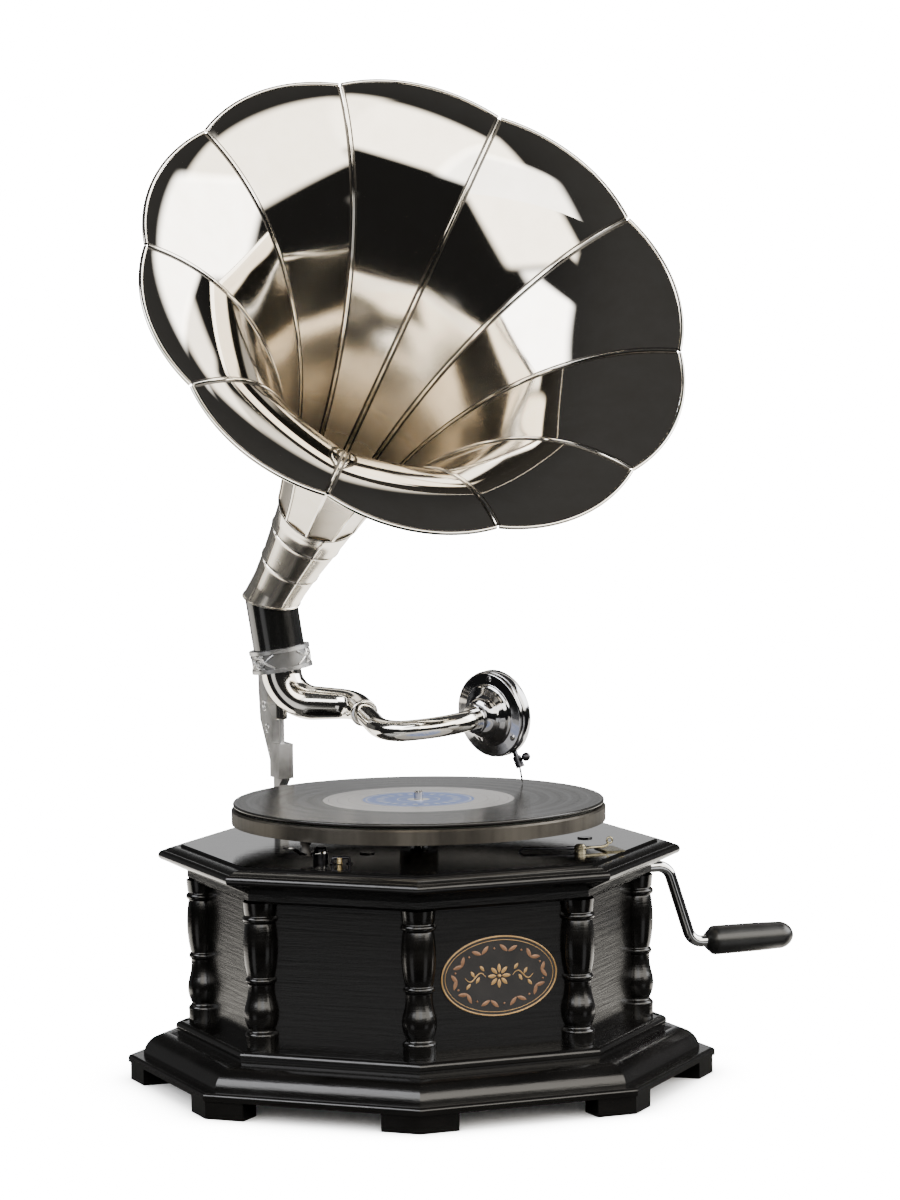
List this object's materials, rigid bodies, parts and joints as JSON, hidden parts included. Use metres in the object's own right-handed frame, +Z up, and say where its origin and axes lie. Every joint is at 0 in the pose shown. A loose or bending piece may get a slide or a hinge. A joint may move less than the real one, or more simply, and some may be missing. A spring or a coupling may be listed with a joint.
{
  "type": "horn gramophone",
  "caption": "Table-top horn gramophone: octagonal black cabinet with turned columns, crank-wound spring motor, record, swinging tonearm with soundbox and petal horn.",
  "frame": {"origin": "on the floor plane under the feet, on the axis of the turntable spindle", "axes": "+Z up along the spindle, -Y toward the front corner of the cabinet, +X to the viewer's right, toward the crank"},
  "size_m": [0.4585, 0.4016, 0.6721],
  "materials": {
    "black_lacquer": "gloss black lacquer over wood",
    "oval_print": "thin printed plate, dark with a dull gold line",
    "polished_nickel": "mirror polished nickel plate",
    "black_enamel": "gloss black enamel",
    "cast_bracket": "cast, lightly polished",
    "platter_iron": "dark painted steel",
    "felt": "dark felt",
    "shellac": "black shellac with fine grooves",
    "label_paper": "blue grey printed paper",
    "steel": "machined steel",
    "brass": "dull brass",
    "grip_lacquer": "gloss black lacquer",
    "gasket_rubber": "soft rubber",
    "mica": "thin mica sheet"
  },
  "bodies": {
    "cabinet": {"feet": "black_lacquer", "base_slab": "black_lacquer", "plinth_moulding": "black_lacquer", "side_panels": "black_lacquer", "crank_panel": "black_lacquer", "corner_columns": "black_lacquer", "frieze_moulding": "black_lacquer", "deck_moulding": "black_lacquer", "motor_board": "black_lacquer", "oval_plaque": "oval_print", "crank_escutcheon": "polished_nickel", "bracket_casting": "cast_bracket", "bracket_screws": "steel", "pivot_pin": "steel", "motor_top_plate": "steel", "motor_low_plate": "steel", "motor_pillars": "steel", "motor_bolts": "steel", "speed_scale": "brass", "speed_pivot": "brass", "brake_screw": "steel"},
    "turntable": {"platter": "platter_iron", "felt_mat": "felt", "record": "shellac", "record_label": "label_paper", "spindle": "steel", "governor_wheel": "brass"},
    "intermediate": {"intermediate_arbor": "steel", "intermediate_wheel": "brass"},
    "barrel": {"spring_barrel": "brass", "mainspring": "steel"},
    "winder": {"winding_arbor": "steel", "winding_wheel": "brass", "ratchet_wheel": "steel"},
    "click_pawl": {"click": "steel"},
    "crank": {"crank_rod": "polished_nickel", "winding_shaft": "steel", "winding_pinion": "steel"},
    "grip": {"crank_grip": "grip_lacquer"},
    "governor": {"governor_shaft": "steel", "governor_weights": "brass", "governor_disc": "brass"},
    "brake": {"brake_lever": "brass"},
    "speed": {"speed_lever": "brass"},
    "tonearm": {"arm_tube": "polished_nickel"},
    "soundbox": {"gooseneck": "polished_nickel", "soundbox_back": "polished_nickel", "soundbox_ring": "polished_nickel", "soundbox_gaskets": "gasket_rubber", "diaphragm": "mica", "stylus_bar": "steel", "needle": "steel", "soundbox_screws": "steel"},
    "thumb_screw": {"needle_screw": "steel"},
    "horn": {"horn_elbow": "black_enamel", "horn_neck": "polished_nickel", "horn_petals": "polished_nickel", "horn_seams": "polished_nickel", "horn_rim": "polished_nickel"}
  },
  "joints": [
    {"name": "turntable_spin", "type": "hinge", "parent": "cabinet", "child": "turntable", "pos_m": [0, 0, 0.1602], "axis": [0, 0, 1], "continuous": true},
    {"name": "intermediate_spin", "type": "hinge", "parent": "cabinet", "child": "intermediate", "pos_m": [0.01562, 0.02907, 0.066], "axis": [0, 0, 1], "continuous": true},
    {"name": "barrel_spin", "type": "hinge", "parent": "cabinet", "child": "barrel", "pos_m": [0.05728, 0.02373, 0.066], "axis": [0, 0, 1], "continuous": true},
    {"name": "governor_spin", "type": "hinge", "parent": "cabinet", "child": "governor", "pos_m": [-0.02661, -0.01102, 0.066], "axis": [0, 0, 1], "continuous": true},
    {"name": "crank_turn", "type": "hinge", "parent": "cabinet", "child": "crank", "pos_m": [0, 0, 0.131], "axis": [0.9239, 0.3827, 0], "continuous": true},
    {"name": "winder_turn", "type": "hinge", "parent": "cabinet", "child": "winder", "pos_m": [0.05728, 0.02373, 0.066], "axis": [0, 0, 1], "continuous": true},
    {"name": "grip_spin", "type": "hinge", "parent": "crank", "child": "grip", "pos_m": [0.19761, 0.08185, 0.0764], "axis": [0.9239, 0.3827, 0], "continuous": true},
    {"name": "click_lift", "type": "hinge", "parent": "cabinet", "child": "click_pawl", "pos_m": [0.05385, 0.00066, 0.118], "axis": [0, 0, 1], "range_deg": [0, 12], "stiffness_Nm_per_rad": 0.02},
    {"name": "brake_turn", "type": "hinge", "parent": "cabinet", "child": "brake", "pos_m": [-0.06403, -0.08195, 0.1642], "axis": [0, 0, 1], "range_deg": [0, 14]},
    {"name": "speed_turn", "type": "hinge", "parent": "cabinet", "child": "speed", "pos_m": [0.107, -0.06005, 0.1618], "axis": [0, 0, 1], "range_deg": [-15, 15]},
    {"name": "arm_swing", "type": "hinge", "parent": "cabinet", "child": "tonearm", "pos_m": [-0.09662, 0.14128, 0.228], "axis": [0, 0, 1], "range_deg": [-16, 22]},
    {"name": "soundbox_tip", "type": "hinge", "parent": "tonearm", "child": "soundbox", "pos_m": [-0.0374, 0.10152, 0.23561], "axis": [0.3012, -0.9325, -0.1994], "range_deg": [0, 85]},
    {"name": "needle_clamp_turn", "type": "hinge", "parent": "soundbox", "child": "thumb_screw", "pos_m": [0.06859, 0.07845, 0.20415], "axis": [0.6362, -0.6607, 0.3984], "continuous": true},
    {"name": "horn_turn", "type": "hinge", "parent": "cabinet", "child": "horn", "pos_m": [-0.09662, 0.14128, 0.271], "axis": [-0.1478, 0, 0.989], "range_deg": [-25, 25]}
  ],
  "couplings": [
    {"joint": "intermediate_spin", "follows": "turntable_spin", "ratio": -0.22222},
    {"joint": "barrel_spin", "follows": "turntable_spin", "ratio": 0.037037},
    {"joint": "governor_spin", "follows": "turntable_spin", "ratio": -5},
    {"joint": "winder_turn", "follows": "crank_turn", "ratio": 0.5}
  ]
}
